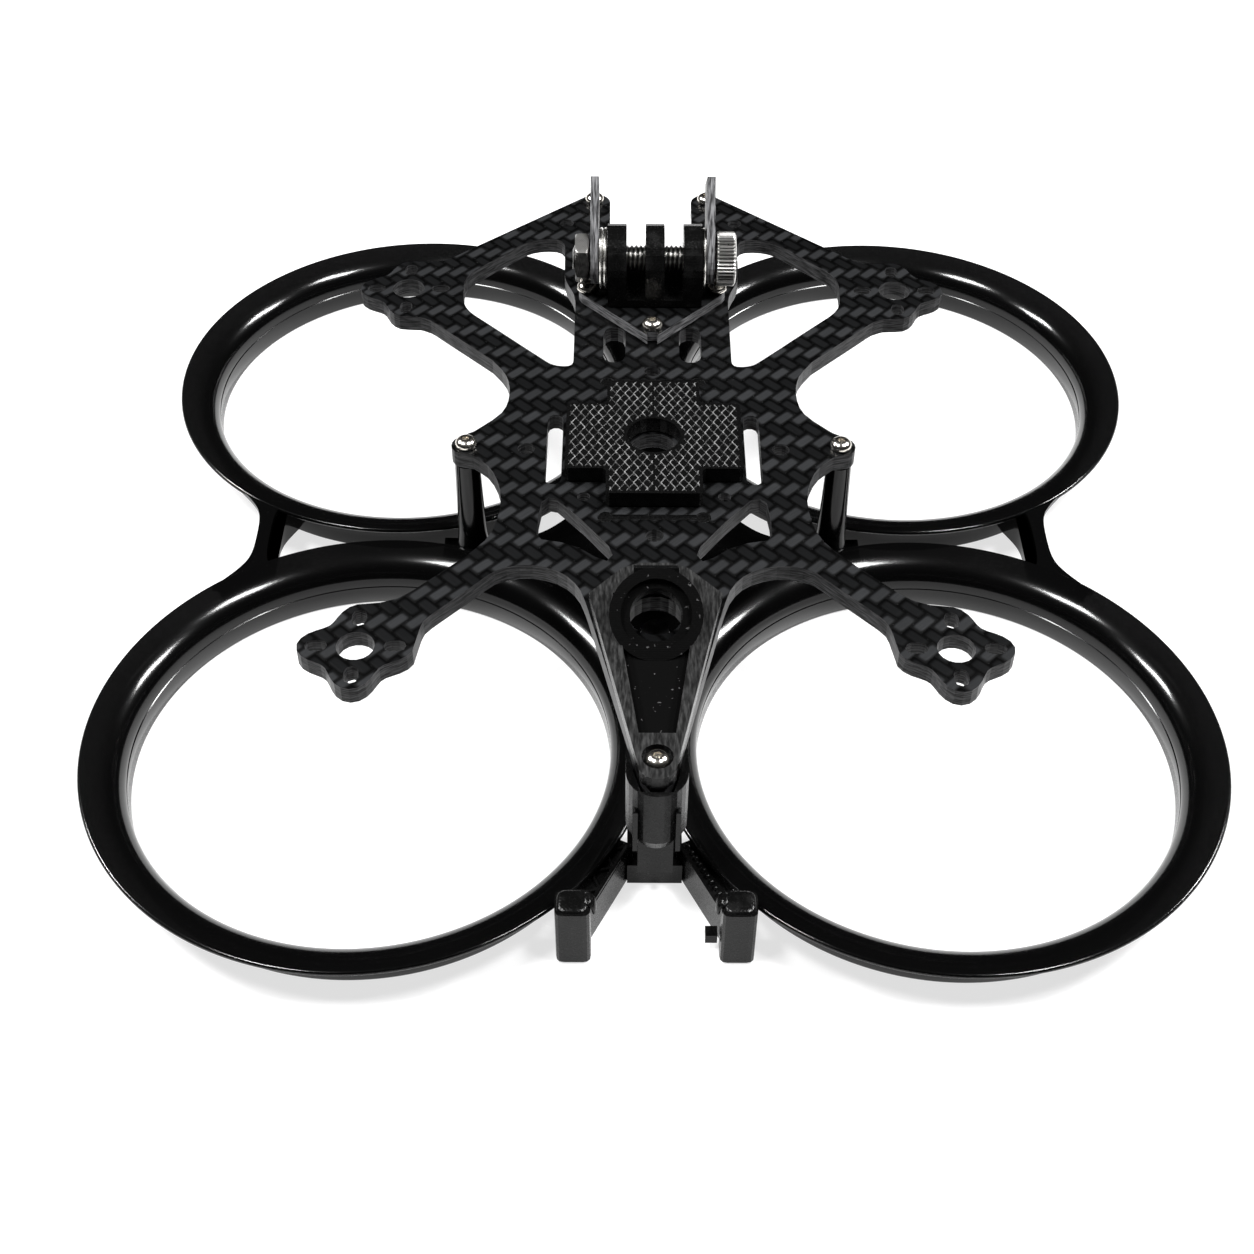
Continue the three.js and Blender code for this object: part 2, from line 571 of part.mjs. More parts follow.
// A round body on the collar's leaning axis; heights are measured from the middle of its rim.
const onCollar = (radius, low, high, steps) => turned([[0, low], [radius, low], [radius, high], [0, high]],
  0, 0, steps).rotateX(rad(COLLAR_TILT)).translate(0, COLLAR_Y, COLLAR_Z);
const upTo = (z0, z1, x, y, radius, steps) => turned([[0, z0], [radius, z0], [radius, z1], [0, z1]], x, y, steps);
const collarLength = (COLLAR_Z - holderZ) / Math.cos(rad(COLLAR_TILT)) + COLLAR_R;
const belowHolder = block(-20, 20, TAIL_TIP_Y - 20, 0, 0, holderZ);
const wedge = upright([
  at(HOLDER_FRONT_Y, holderZ),
  at(HOLDER_FRONT_Y - 4.9, COLLAR_Z + 1.1),
  at(COLLAR_Y + COLLAR_R * Math.cos(rad(COLLAR_TILT)), COLLAR_Z + COLLAR_R * Math.sin(rad(COLLAR_TILT)) - 0.2),
  at(COLLAR_Y, holderZ),
], -3.4, 3.4);
add('tail_holder', cut(
  join(
    cut(sheet(holderOutline, holderZ, holderTop), sheet(pocket, holderTop - POCKET_DEEP, holderTop + 1)),
    cut(onCollar(COLLAR_R, -collarLength, 0, 32), belowHolder),
    wedge,
  ),
  onCollar(COLLAR_STEP_R, -1.2, 5, 28),
  onCollar(COLLAR_BORE_R, -2 * collarLength, 5, 24),
  upTo(SEAT_Z, holderTop + 1, 0, TAIL_SCREW_Y, SCREW_HEAD_R + 0.4, 16),
  upTo(holderZ - 1, holderTop, 0, TAIL_SCREW_Y, SCREW_HOLE_R, 12),
), soft);
add('tail_screw', buttonScrew(0, TAIL_SCREW_Y, SEAT_Z, SEAT_Z - PLATE_Z + SCREW_BITE), steel);

// Pillar under the tail tip: U-shaped rim round the tongue, tapered belly, narrow stem.
const PILLAR_R = 4.5;
const PILLAR_Y = TAIL_TIP_Y + 1;
const PILLAR_FRONT_Y = TAIL_TIP_Y + 8;
const PILLAR_LOW = PLATE_Z - 7.9;
const STEM_HALF = 2.65;
const STEM_REAR_Y = TAIL_TIP_Y + 1;
const STEM_FRONT_Y = TAIL_TIP_Y + 6;
const FORK_BLOCK_TOP = 4.8;
const pillarOutline = [
  at(PILLAR_R, PILLAR_FRONT_Y), at(-PILLAR_R, PILLAR_FRONT_Y),
  ...arc(0, PILLAR_Y, PILLAR_R, 180, 360, 14),
];
const tongueSpace = sheet([
  at(-7.2, TAIL_TIP_Y + 14), at(tailLeft(TAIL_TIP_Y) - 0.4, TAIL_TIP_Y + 0.2), at(-2.3, tongueTipY - 0.6),
  at(2.3, tongueTipY - 0.6), at(-tailLeft(TAIL_TIP_Y) + 0.4, TAIL_TIP_Y + 0.2), at(7.2, TAIL_TIP_Y + 14),
], postTop, PLATE_TOP + 2);
const belly = turned([
  [0, PILLAR_LOW - 3],
  [STEM_HALF + 0.3, PILLAR_LOW - 3],
  [PILLAR_R - 0.05, PILLAR_LOW + 0.5],
  [0, PILLAR_LOW + 0.5],
], 0, PILLAR_Y, 28);
const pillarBore = upTo(postTop - SCREW_BITE - 0.5, PLATE_TOP + 2, 0, TAIL_SCREW_Y, SCREW_HOLE_R, 12);
add('tail_post', cut(
  join(sheet(pillarOutline, PILLAR_LOW, PLATE_TOP - 0.2), belly,
    block(-STEM_HALF, STEM_HALF, STEM_REAR_Y, STEM_FRONT_Y, FORK_BLOCK_TOP + GAP, PILLAR_LOW - 1)),
  tongueSpace, pillarBore,
), soft);

// Antenna fork: base block, two splayed arms, and a clip head at each end.
const FORK_Z = 0.4;
const FORK_BLOCK_HALF = 4.2;
const FORK_REAR_Y = TAIL_TIP_Y + 2.6;
const FORK_FRONT_Y = TAIL_TIP_Y + 11.5;
const ARM_TOP = 7.4;
const ARM_T = 3.4;
const ARM_SPLAY = 26.5;
const CLIP_X = 12.1;
const CLIP_HALF = 2.6;
const CLIP_REAR_Y = TAIL_TIP_Y - 11.9;
const CLIP_FRONT_Y = TAIL_TIP_Y - 7.2;
const CLIP_TOP = 12;
const TUBE_R = 1.3;
const armOut = at(-Math.sin(rad(ARM_SPLAY)), -Math.cos(rad(ARM_SPLAY)));
const armRoot = at(-3.5, TAIL_TIP_Y + 4.6);
const ARM_LENGTH = 14.2;
const armOutline = [
  armRoot,
  at(armRoot.x + armOut.x * ARM_LENGTH, armRoot.y + armOut.y * ARM_LENGTH),
  at(armRoot.x + armOut.x * ARM_LENGTH + armOut.y * ARM_T, armRoot.y + armOut.y * ARM_LENGTH - armOut.x * ARM_T),
  at(armRoot.x + armOut.y * ARM_T, armRoot.y - armOut.x * ARM_T),
].reverse();
const clipOutline = rounded([
  at(-CLIP_X - CLIP_HALF, CLIP_REAR_Y), at(-CLIP_X + CLIP_HALF, CLIP_REAR_Y),
  at(-CLIP_X + CLIP_HALF, CLIP_FRONT_Y), at(-CLIP_X - CLIP_HALF, CLIP_FRONT_Y),
], 1.2, 3);
const tubeBore = (x) => upTo(CLIP_TOP - 7, CLIP_TOP + 1, x, (CLIP_REAR_Y + CLIP_FRONT_Y) / 2, TUBE_R, 14);
add('antenna_mount', cut(
  join(
    block(-FORK_BLOCK_HALF, FORK_BLOCK_HALF, FORK_REAR_Y, FORK_FRONT_Y, FORK_Z, FORK_BLOCK_TOP),
    sheet(armOutline, FORK_Z, ARM_TOP),
    sheet(mirrorX(armOutline), FORK_Z, ARM_TOP),
    sheet(clipOutline, FORK_Z, CLIP_TOP),
    sheet(mirrorX(clipOutline), FORK_Z, CLIP_TOP),
  ),
  tubeBore(-CLIP_X), tubeBore(CLIP_X), ...ductSpaces,
), soft);
// A small cable-tie head beside the right arm.
const TIE_SIZE = 1.8;
const TIE_X = 7.4;
const TIE_Y = TAIL_TIP_Y - 7.4;
add('tie_head', block(TIE_X, TIE_X + TIE_SIZE, TIE_Y - TIE_SIZE, TIE_Y, 1.6, 1.6 + TIE_SIZE), soft);

export default group;
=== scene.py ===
import math
import random

import bmesh
import bpy
from mathutils import Matrix, Vector


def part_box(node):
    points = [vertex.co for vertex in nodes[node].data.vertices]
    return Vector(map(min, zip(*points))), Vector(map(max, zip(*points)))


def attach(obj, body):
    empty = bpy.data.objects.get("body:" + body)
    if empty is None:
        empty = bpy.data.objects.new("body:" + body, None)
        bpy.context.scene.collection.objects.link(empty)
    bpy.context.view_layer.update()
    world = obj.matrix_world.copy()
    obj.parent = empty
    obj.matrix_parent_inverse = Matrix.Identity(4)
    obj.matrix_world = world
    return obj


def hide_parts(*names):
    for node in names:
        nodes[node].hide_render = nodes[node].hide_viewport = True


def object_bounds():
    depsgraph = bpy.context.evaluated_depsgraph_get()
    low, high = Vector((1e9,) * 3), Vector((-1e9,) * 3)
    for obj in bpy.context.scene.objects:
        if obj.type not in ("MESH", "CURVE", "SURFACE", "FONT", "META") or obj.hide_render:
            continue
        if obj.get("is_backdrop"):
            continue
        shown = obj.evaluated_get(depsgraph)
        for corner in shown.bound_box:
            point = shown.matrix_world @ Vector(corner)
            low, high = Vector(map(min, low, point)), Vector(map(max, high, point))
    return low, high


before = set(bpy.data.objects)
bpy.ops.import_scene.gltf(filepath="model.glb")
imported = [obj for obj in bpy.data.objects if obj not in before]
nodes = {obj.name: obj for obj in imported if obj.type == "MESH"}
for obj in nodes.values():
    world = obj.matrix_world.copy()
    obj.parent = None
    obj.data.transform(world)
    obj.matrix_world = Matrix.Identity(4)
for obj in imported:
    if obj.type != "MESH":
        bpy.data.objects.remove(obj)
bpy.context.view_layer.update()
MM = 0.001
FRAME = "frame"

# Sizes in millimetres of what the frame's boxes don't give.
THROAT, WALL, TALL, STRAIGHT, LIP = 38.6, 2.0, 9.0, 4.3, 0.9
SHANK_R, PITCH, HEAD_L, RIDGES = 2.45, 0.8, 3.6, 44
HOLDER_TOP = 31.4

centres = {}


def middle(node):
    """The centre of a node's box, in millimetres."""
    if node not in centres:
        low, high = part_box(node)
        centres[node] = (low + high) / 2 / MM
    return centres[node]


# ---- shader helpers ---------------------------------------------------------------------------
class Net:
    """A node material: numbers or sockets go in, sockets come out. Lengths in it are millimetres."""

    def __init__(self, name):
        self.mat = bpy.data.materials.new(name)
        self.mat.use_nodes = True
        self.tree = self.mat.node_tree
        self.tree.nodes.clear()
        out = self.tree.nodes.new("ShaderNodeOutputMaterial")
        self.bsdf = self.tree.nodes.new("ShaderNodeBsdfPrincipled")
        self.tree.links.new(self.bsdf.outputs[0], out.inputs["Surface"])
        coords = self.tree.nodes.new("ShaderNodeTexCoord").outputs["Object"]
        self.pos = self.vec("SCALE", coords, scale=1000.0)
        self.x, self.y, self.z = self.split(self.pos)
        normal = self.tree.nodes.new("ShaderNodeNewGeometry").outputs["True Normal"]
        self.nx, self.ny, self.nz = self.split(normal)

    def put(self, socket, value):
        if isinstance(value, bpy.types.NodeSocket):
            self.tree.links.new(value, socket)
        else:
            socket.default_value = value

    def math(self, op, a, b=0.0, clamp=False):
        n = self.tree.nodes.new("ShaderNodeMath")
        n.operation = op
        n.use_clamp = clamp
        self.put(n.inputs[0], a)
        self.put(n.inputs[1], b)
        return n.outputs[0]

    def vec(self, op, a, b=(0, 0, 0), scale=1.0):
        n = self.tree.nodes.new("ShaderNodeVectorMath")
        n.operation = op
        self.put(n.inputs[0], a)
        self.put(n.inputs[1], b)
        self.put(n.inputs["Scale"], scale)
        return n.outputs[0]

    def split(self, vector):
        n = self.tree.nodes.new("ShaderNodeSeparateXYZ")
        self.put(n.inputs[0], vector)
        return n.outputs[0], n.outputs[1], n.outputs[2]

    def join(self, x, y, z):
        n = self.tree.nodes.new("ShaderNodeCombineXYZ")
        for socket, value in zip(n.inputs, (x, y, z)):
            self.put(socket, value)
        return n.outputs[0]

    def noise(self, vector, scale, detail=3.0, rough=0.5):
        n = self.tree.nodes.new("ShaderNodeTexNoise")
        self.put(n.inputs["Vector"], vector)
        n.inputs["Scale"].default_value = scale
        n.inputs["Detail"].default_value = detail
        n.inputs["Roughness"].default_value = rough
        return n.outputs[0]

    def speckle(self, vector):
        n = self.tree.nodes.new("ShaderNodeTexWhiteNoise")
        self.put(n.inputs["Vector"], vector)
        return n.outputs["Value"]

    def blend(self, share, a, b):
        """a where share is 0, b where it is 1, for numbers."""
        n = self.tree.nodes.new("ShaderNodeMix")
        self.put(n.inputs[0], share)
        self.put(n.inputs[2], a)
        self.put(n.inputs[3], b)
        return n.outputs[0]

    def tint(self, share, a, b):
        n = self.tree.nodes.new("ShaderNodeMix")
        n.data_type = "RGBA"
        self.put(n.inputs[0], share)
        self.put(n.inputs[6], a)
        self.put(n.inputs[7], b)
        return n.outputs[2]

    def ramp(self, value, low, high, to_low=0.0, to_high=1.0):
        n = self.tree.nodes.new("ShaderNodeMapRange")
        n.interpolation_type = "SMOOTHSTEP"
        self.put(n.inputs[0], value)
        for i, number in enumerate((low, high, to_low, to_high)):
            n.inputs[i + 1].default_value = number
        return n.outputs[0]

    def bump(self, height_mm, strength):
        n = self.tree.nodes.new("ShaderNodeBump")
        n.inputs["Strength"].default_value = strength
        n.inputs["Distance"].default_value = 0.001
        self.put(n.inputs["Height"], height_mm)
        return n.outputs[0]

    def set(self, **values):
        for name, value in values.items():
            self.put(self.bsdf.inputs[name.replace("_", " ")], value)

    def grey(self, value, warm=1.0, cool=1.0):
        return self.join(self.math("MULTIPLY", value, warm), value, self.math("MULTIPLY", value, cool))


def carbon_look(name, across, up, face, pale):
    """Two-by-two twill on the big faces, bare laminate on the cut edges, with painted sheen on the slash tows,
    painted shade at the tows' edges and ends and a painted highlight on bevelled rims. face is the broad faces'
    normal, pale how light the cut edges are."""
    n = Net(name)
    axes = {"x": n.x, "y": n.y, "z": n.z}
    tow = 2.2 * math.sqrt(2)
    rise = n.math("DIVIDE", n.math("ADD", axes[across], axes[up]), tow)
    fall = n.math("DIVIDE", n.math("SUBTRACT", axes[up], axes[across]), tow)
    rise_cell, fall_cell = n.math("FLOOR", rise), n.math("FLOOR", fall)
    rise_within, fall_within = n.math("FRACT", rise), n.math("FRACT", fall)
    place = n.math("FLOORED_MODULO", n.math("ADD", rise_cell, fall_cell), 4.0)
    slash = n.math("LESS_THAN", place, 1.5)
    along = n.blend(slash, fall_within, rise_within)
    side = n.blend(slash, rise_within, fall_within)
    passage = n.math("MULTIPLY", n.math("ADD", n.math("FLOORED_MODULO", place, 2.0), along), 0.5)
    crown = n.math("SINE", n.math("MULTIPLY", passage, math.pi))
    off = n.math("ABSOLUTE", n.math("SUBTRACT", n.math("MULTIPLY", side, 2.0), 1.0))
    # painted shade: the base colour darkens towards each tow's sides and towards its ends, where it dips under
    # the crossing tows
    flat_side = n.ramp(off, 0.35, 1.0, 1.0, 0.0)
    flat_end = n.ramp(crown, 0.0, 0.75)
    body = n.math("MULTIPLY", flat_side, flat_end)
    fibre = n.noise(n.join(n.math("MULTIPLY", n.blend(slash, rise, fall), 14.0),
                           n.math("MULTIPLY", n.blend(slash, fall, rise), 0.7),
                           n.math("MULTIPLY", slash, 7.0)), 1.0, 4.0, 0.7)
    half_place = n.math("FLOOR", n.math("MULTIPLY", place, 0.5))
    bundle = n.speckle(n.join(n.blend(slash, rise_cell, fall_cell), slash, half_place))
    # painted sheen: the slash tows get a lighter base colour than the crossing tows, standing in for light the
    # weave reflects along one direction
    level = n.blend(slash, 0.0035, 0.013)
    level = n.math("MULTIPLY", level, n.math("ADD", 0.55, n.math("MULTIPLY", fibre, 0.9)))
    level = n.math("MULTIPLY", level, n.math("ADD", 0.8, n.math("MULTIPLY", bundle, 0.4)))
    # painted shade at the tow edges and ends
    level = n.math("MULTIPLY", level, n.ramp(body, 0.0, 0.9, 0.05, 1.0))
    broad = {"x": n.nx, "z": n.nz}[face]
    cut = n.math("LESS_THAN", n.math("ABSOLUTE", broad), 0.6)
    # painted highlight: the bevelled rims between the broad faces and the cut edges get a light base colour
    lightened = n.math("MULTIPLY", n.ramp(n.math("ABSOLUTE", broad), 0.25, 0.4),
                  n.ramp(n.math("ABSOLUTE", broad), 0.97, 0.99, 1.0, 0.0))
    stretch_x, stretch_z = (4.0, 0.3) if face == "x" else (0.35, 5.0)
    plies = n.noise(n.join(n.math("MULTIPLY", n.x, stretch_x), n.math("MULTIPLY", n.y, 0.3),
                           n.math("MULTIPLY", n.z, stretch_z)), 1.0, 3.0, 0.6)
    bands = n.math("SINE", n.math("MULTIPLY", axes[face], 2 * math.pi / 0.25))
    edge = n.math("ADD", 0.004 * pale, n.math("MULTIPLY", n.ramp(plies, 0.35, 0.7), 0.045 * pale))
    edge = n.math("ADD", edge, n.math("MULTIPLY", bands, 0.003 * pale))
    # painted highlight on the bevelled rims
    edge = n.math("ADD", edge, n.math("MULTIPLY", lightened, n.math("ADD", 0.02, n.math("MULTIPLY", plies, 0.16))))
    cut = n.math("MAXIMUM", cut, lightened)
    n.set(Base_Color=n.tint(cut, n.grey(level, 0.97, 1.06), n.grey(edge, 1.0, 1.03)),
          Roughness=n.blend(cut, n.blend(slash, 0.34, 0.42), 0.36), Specular_IOR_Level=0.12)
    relief = n.math("ADD", n.math("MULTIPLY", body, 0.07), n.math("MULTIPLY", fibre, 0.012))
    relief = n.math("ADD", relief, n.math("MULTIPLY", crown, 0.05))
    n.set(Normal=n.bump(n.blend(cut, relief, n.math("MULTIPLY", plies, 0.04)), 0.8))
    return n.mat


def gloss_look(name, clear):
    """Injection-moulded smoked black plastic: deep gloss, faint waviness, small handling marks.
    The thin lip lets a little light through."""
    n = Net(name)
    wave = n.noise(n.pos, 0.05, 2.0, 0.4)
    dust = n.noise(n.pos, 2.2, 4.0, 0.6)
    marks = n.ramp(dust, 0.62, 0.8)
    base = n.math("ADD", 0.001, n.math("MULTIPLY", marks, 0.003))
    n.set(Base_Color=n.grey(base, 1.0, 1.04),
          Roughness=n.math("ADD", 0.11, n.math("ADD", n.math("MULTIPLY", wave, 0.05),
                                                n.math("MULTIPLY", marks, 0.12))),
          Specular_IOR_Level=0.27, IOR=1.5)
    if clear:
        n.set(Alpha=n.math("SUBTRACT", 1.0, n.ramp(n.z, 5.2, 8.9, 0.0, 0.06)))
    n.set(Normal=n.bump(n.math("ADD", n.math("MULTIPLY", wave, 0.35), n.math("MULTIPLY", dust, 0.0015)), 0.5))
    return n.mat


def edge_highlight(n, normal_part):
    """Painted highlight: broken light lines where a rounded edge turns between two flat faces, 0 to 1."""
    tilt = n.math("ABSOLUTE", normal_part)
    turning = n.math("MULTIPLY", n.ramp(tilt, 0.2, 0.35), n.ramp(tilt, 0.85, 0.95, 1.0, 0.0))
    return n.math("MULTIPLY", turning, n.ramp(n.noise(n.pos, 0.7, 3.0, 0.6), 0.42, 0.55))


def printed_look(name, highlight_edges):
    """Flexible black filament print: layer lines a fifth of a millimetre high, glossy strands."""
    n = Net(name)
    wander = n.noise(n.pos, 0.6, 3.0)
    layer = n.math("SINE", n.math("ADD", n.math("MULTIPLY", n.z, 2 * math.pi / 0.22),
                                  n.math("MULTIPLY", wander, 1.6)))
    top = n.math("GREATER_THAN", n.math("ABSOLUTE", n.nz), 0.8)
    diagonal = n.math("SINE", n.math("MULTIPLY", n.math("ADD", n.x, n.y), 2 * math.pi / 0.6))
    strand = n.blend(top, layer, diagonal)
    blobs = n.noise(n.pos, 2.6, 3.0, 0.6)
    smudge = n.ramp(n.noise(n.pos, 0.35, 3.0), 0.5, 0.75)
    base = n.math("ADD", 0.002, n.math("MULTIPLY", smudge, 0.004))
    # painted highlight along the rounded edges
    if highlight_edges:
        base = n.math("ADD", base, n.math("MULTIPLY", edge_highlight(n, n.nx), 0.2))
    n.set(Base_Color=n.grey(base), Roughness=n.ramp(blobs, 0.35, 0.7, 0.16, 0.30), Specular_IOR_Level=0.13)
    relief = n.math("ADD", n.math("MULTIPLY", strand, 0.006), n.math("MULTIPLY", blobs, 0.035))
    n.set(Normal=n.bump(relief, 0.7))
    return n.mat


def holder_look():
    """The tail holder: glossy black print whose flat upper bands are a lighter streaked satin grey, with
    painted glints and a painted highlight on the pocket rim.
    """
    n = Net("printed_holder")
    off_top = n.math("ABSOLUTE", n.math("SUBTRACT", n.z, HOLDER_TOP))
    top = n.math("MULTIPLY", n.ramp(n.nz, 0.85, 0.97), n.ramp(off_top, 0.05, 0.12, 1.0, 0.0))
    streak = n.noise(n.join(n.math("MULTIPLY", n.x, 2.2), n.math("MULTIPLY", n.y, 0.35), 0.0), 1.0, 4.0, 0.6)
    blobs = n.noise(n.pos, 1.8, 3.0, 0.6)
    # painted glints: small bright specks of painted highlight in the base colour
    glints = n.ramp(n.noise(n.pos, 1.1, 2.0, 0.5), 0.68, 0.74, 0.0, 0.05)
    base = n.math("ADD", 0.002, glints)
    band = n.math("ADD", 0.003, n.ramp(streak, 0.35, 0.75, 0.0, 0.026))
    # painted highlight along the pocket rim at the holder's top
    off_rim = n.math("ABSOLUTE", n.math("SUBTRACT", n.z, HOLDER_TOP - 0.1))
    near = n.ramp(off_rim, 0.2, 0.35, 1.0, 0.0)
    near = n.math("MULTIPLY", near, n.ramp(n.math("ABSOLUTE", n.nx), 0.3, 0.5))
    rim = n.math("MULTIPLY", edge_highlight(n, n.nz), near)
    base = n.math("ADD", n.blend(top, base, band), n.math("MULTIPLY", rim, 0.16))
    n.set(Base_Color=n.grey(base), Roughness=n.blend(top, 0.2, 0.42), Specular_IOR_Level=0.16)
    layer = n.math("SINE", n.math("MULTIPLY", n.z, 2 * math.pi / 0.22))
    n.set(Normal=n.bump(n.math("ADD", n.math("MULTIPLY", blobs, 0.05), n.math("MULTIPLY", layer, 0.005)), 0.7))
    return n.mat


def rubber_look(name, crest_low=None):
    """Black rubber. Above crest_low, in millimetres, the crests of the raised mesh are coloured lighter, in
    patches.
    """
    n = Net(name)
    grain = n.noise(n.pos, 3.0, 4.0, 0.6)
    base = n.math("ADD", 0.0005, n.math("MULTIPLY", grain, 0.002))
    if crest_low is not None:
        lightened = n.ramp(n.noise(n.pos, 0.8, 2.0), 0.35, 0.6, 0.25, 1.0)
        crest = n.ramp(n.z, crest_low, crest_low + 0.12, 0.0, 0.17)
        base = n.math("ADD", base, n.math("MULTIPLY", crest, lightened))
    n.set(Base_Color=n.grey(base), Roughness=n.ramp(grain, 0.3, 0.7, 0.24, 0.40), Specular_IOR_Level=0.14)
    n.set(Normal=n.bump(n.math("MULTIPLY", grain, 0.03), 0.5))
    return n.mat


def steel_look(name, level, rough, warm, cool, axis=None, grooves=()):
    """Polished or turned metal. Grooves, given as (radius, start, end) about the axis, get painted shade: the
    colour darkens towards their roots.
    """
    n = Net(name)
    scratch = n.noise(n.pos, 0.8, 3.0, 0.55)
    stain = n.noise(n.pos, 0.5, 2.0)
    colour = n.grey(n.math("MULTIPLY", level, n.math("ADD", 0.85, n.math("MULTIPLY", stain, 0.3))), warm, cool)
    if axis:
        from_y = n.math("SUBTRACT", n.y, axis[0])
        from_z = n.math("SUBTRACT", n.z, axis[1])
        squares = n.math("ADD", n.math("MULTIPLY", from_y, from_y), n.math("MULTIPLY", from_z, from_z))
        reach = n.math("SQRT", squares)
        for radius, start, end in grooves:
            here = n.math("MULTIPLY", n.math("GREATER_THAN", n.x, start), n.math("LESS_THAN", n.x, end))
            # painted shade in the thread and knurl grooves
            deep = n.ramp(reach, radius - 0.34, radius - 0.06, 0.22, 1.0)
            colour = n.vec("SCALE", colour, scale=n.blend(here, 1.0, deep))
    n.set(Base_Color=colour, Metallic=1.0,
          Roughness=n.math("ADD", rough, n.math("MULTIPLY", scratch, 0.12)))
    n.set(Normal=n.bump(n.math("MULTIPLY", scratch, 0.004), 0.3))
    return n.mat


def nut_look():
    """Zinc-plated hexagon: faintly hatched upper faces; the other faces get painted shade, a much darker
    colour.
    """
    n = Net("hex_nut")
    hatch = n.math("MULTIPLY", n.math("SINE", n.math("MULTIPLY", n.x, 2 * math.pi / 0.4)),
                   n.math("SINE", n.math("MULTIPLY", n.y, 2 * math.pi / 0.4)))
    grain = n.noise(n.pos, 1.2, 3.0)
    upper = n.math("ADD", 0.24, n.math("ADD", n.math("MULTIPLY", hatch, 0.12), n.math("MULTIPLY", grain, 0.2)))
    # painted shade: faces that do not face upward get a far darker base colour than the upper ones
    level = n.blend(n.ramp(n.nz, 0.3, 0.5), n.math("MULTIPLY", grain, 0.10), upper)
    n.set(Base_Color=n.grey(level, 1.02, 0.97), Metallic=1.0, Roughness=0.34,
          Normal=n.bump(n.math("MULTIPLY", hatch, 0.02), 0.5))
    return n.mat


carbon_flat = carbon_look("carbon_flat", "x", "y", "z", 1.2)
carbon_small = carbon_look("carbon_small", "x", "y", "z", 4.5)
carbon_upright = carbon_look("carbon_upright", "y", "z", "x", 4.0)
smoked = gloss_look("smoked_lip", True)
solid_smoked = gloss_look("smoked_thick", False)
printed = printed_look("printed_soft", False)
printed_mount = printed_look("printed_mount", True)
holder = holder_look()
rubber = rubber_look("pad_rubber")
rubber_tongue = rubber_look("pad_tongue")
rubber_mesh = rubber_look("pad_mesh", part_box("battery_pad")[1].z / MM + 0.06)
steel = steel_look("polished_steel", 0.72, 0.12, 1.05, 0.92)
bright = steel_look("turned_steel", 0.80, 0.2, 1.02, 0.95)
bolt_low, bolt_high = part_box("clamp_bolt")
bolt_end, head_end = bolt_low.x / MM, bolt_high.x / MM
head_start = head_end - HEAD_L
head_r = (bolt_high.z - bolt_low.z) / 2 / MM
axis_y, axis_z = middle("clamp_bolt").y, middle("clamp_bolt").z
bolt_grooves = ((SHANK_R, bolt_end, head_start), (head_r, head_start + 0.5, head_end - 0.5))
bolt_steel = steel_look("bolt_steel", 0.62, 0.24, 1.01, 0.97, (axis_y, axis_z), bolt_grooves)
nut_steel = nut_look()
anodised = steel_look("dark_anodised", 0.22, 0.28, 1.0, 1.02)


# ---- mesh helpers -----------------------------------------------------------------------------
def piece(name, bm, look, body=FRAME, smooth=35):
    bmesh.ops.recalc_face_normals(bm, faces=bm.faces)
    mesh = bpy.data.meshes.new(name)
    bm.to_mesh(mesh)
    bm.free()
    for face in mesh.polygons:
        face.use_smooth = True
    obj = bpy.data.objects.new(name, mesh)
    bpy.context.scene.collection.objects.link(obj)
    mesh.set_sharp_from_angle(angle=math.radians(smooth))
    mesh.materials.append(look)
    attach(obj, body)
    return obj


def grid(bm, rings, closed_round=True, closed_along=False):
    """Skins rows of points, given as lists of equal length."""
    rows = [[bm.verts.new(p) for p in ring] for ring in rings]
    last = len(rows) if closed_along else len(rows) - 1
    for r in range(last):
        a, b = rows[r], rows[(r + 1) % len(rows)]
        count = len(a) if closed_round else len(a) - 1
        for k in range(count):
            m = (k + 1) % len(a)
            bm.faces.new((a[k], a[m], b[m], b[k]))
    return rows


def lathe(bm, profile, x, y, steps=96, closed=False):
    """Turns (radius, height) pairs in millimetres about an upright axis."""
    rings = []
    for r, z in profile:
        rings.append([(x * MM + r * MM * math.cos(2 * math.pi * k / steps),
                       y * MM + r * MM * math.sin(2 * math.pi * k / steps), z * MM) for k in range(steps)])
    rows = grid(bm, rings, True, closed)
    if not closed:
        bm.faces.new(rows[0])
        bm.faces.new(rows[-1])


def slab(bm, outline, z0, z1, bevel=0.0, steps=2):
    """A flat piece from a closed outline in millimetres, with softened upper and lower edges."""
    low = [bm.verts.new((x * MM, y * MM, z0 * MM)) for x, y in outline]
    face = bm.faces.new(low)
    made = bmesh.ops.extrude_face_region(bm, geom=[face])
    top = [v for v in made["geom"] if isinstance(v, bmesh.types.BMVert)]
    bmesh.ops.translate(bm, verts=top, vec=(0, 0, (z1 - z0) * MM))
    if bevel:
        high, base = set(top), set(low)
        rims = [e for e in bm.edges if all(v in high for v in e.verts) or all(v in base for v in e.verts)]
        bmesh.ops.bevel(bm, geom=rims, offset=bevel * MM, segments=steps, affect="EDGES", profile=0.5)


def spline(points, steps=8, closed=False):
    """Catmull-Rom curve through points."""
    count = len(points)
    out = []
    spans = count if closed else count - 1
    for k in range(spans):
        if closed:
            p = [points[(k + d) % count] for d in (-1, 0, 1, 2)]
        else:
            p = [points[max(0, min(count - 1, k + d))] for d in (-1, 0, 1, 2)]
        for s in range(steps):
            t = s / steps
            out.append(tuple(0.5 * (2 * b + (c - a) * t + (2 * a - 5 * b + 4 * c - d) * t * t
                                    + (3 * b - a - 3 * c + d) * t ** 3)
                             for a, b, c, d in zip(*p)))
    if not closed:
        out.append(points[-1])
    return out


